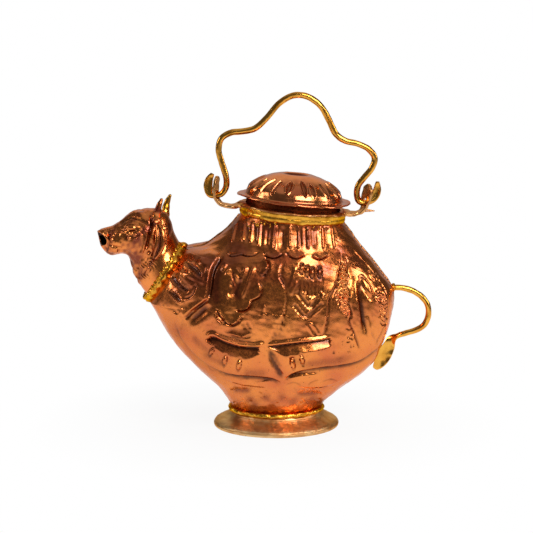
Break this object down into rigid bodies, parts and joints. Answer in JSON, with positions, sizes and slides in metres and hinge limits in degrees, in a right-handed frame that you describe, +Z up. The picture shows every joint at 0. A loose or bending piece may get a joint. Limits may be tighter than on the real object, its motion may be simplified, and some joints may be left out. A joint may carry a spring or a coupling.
{
  "type": "spouted water pot",
  "caption": "Copper water pot in the form of a lying cow: head spout, lift-out embossed lid, swinging bail, side handle and flared foot.",
  "frame": {"origin": "centre of the object's box, on the surface that it stands on", "axes": "+Z up through the pot, -X the way the cow's head and spout point, -Y the front that the picture shows"},
  "size_m": [0.2174, 0.096, 0.2182],
  "materials": {
    "embossed_copper": "embossed copper sheet, polished on the high places and dark in the hollows",
    "lid_copper": "raised copper sheet, burnished",
    "plate_copper": "flat copper sheet, brassed by braze at the edges",
    "dark_copper": "tarnished copper, dull",
    "rod_brass": "forged brass rod, rubbed bright",
    "braze_brass": "yellow braze, filed rough",
    "seam_braze": "thin braze in the copper seam, filed flush",
    "foot_brass": "turned bell-metal brass, polished"
  },
  "bodies": {
    "pot": {"body_front_shell": "embossed_copper", "body_rear_shell": "embossed_copper", "seam_braze_back": "seam_braze", "seam_braze_chest": "seam_braze", "seam_braze_nape": "seam_braze", "head_front_half": "embossed_copper", "head_rear_half": "embossed_copper", "horn_front": "embossed_copper", "horn_rear": "rod_brass", "ear_front": "embossed_copper", "ear_rear": "embossed_copper", "spout_collar": "braze_brass", "neck_band": "braze_brass", "rim_plate": "plate_copper", "mouth_collar": "dark_copper", "side_handle": "rod_brass", "handle_top_braze": "braze_brass", "vessel_floor": "dark_copper", "foot_braze": "braze_brass", "foot_flare": "foot_brass"},
    "lid": {"lid_dome": "lid_copper", "lid_skirt": "dark_copper"},
    "bail": {"bail_handle": "rod_brass"}
  },
  "joints": [
    {"name": "lid_lift", "type": "slide", "parent": "pot", "child": "lid", "axis": [0.0924, 0, 0.9957], "range_m": [0, 0.02]},
    {"name": "bail_swing", "type": "hinge", "parent": "pot", "child": "bail", "pos_m": [-0.032, 0, 0.1514], "axis": [0.9987, 0, -0.0508], "range_deg": [-110, 110]}
  ]
}
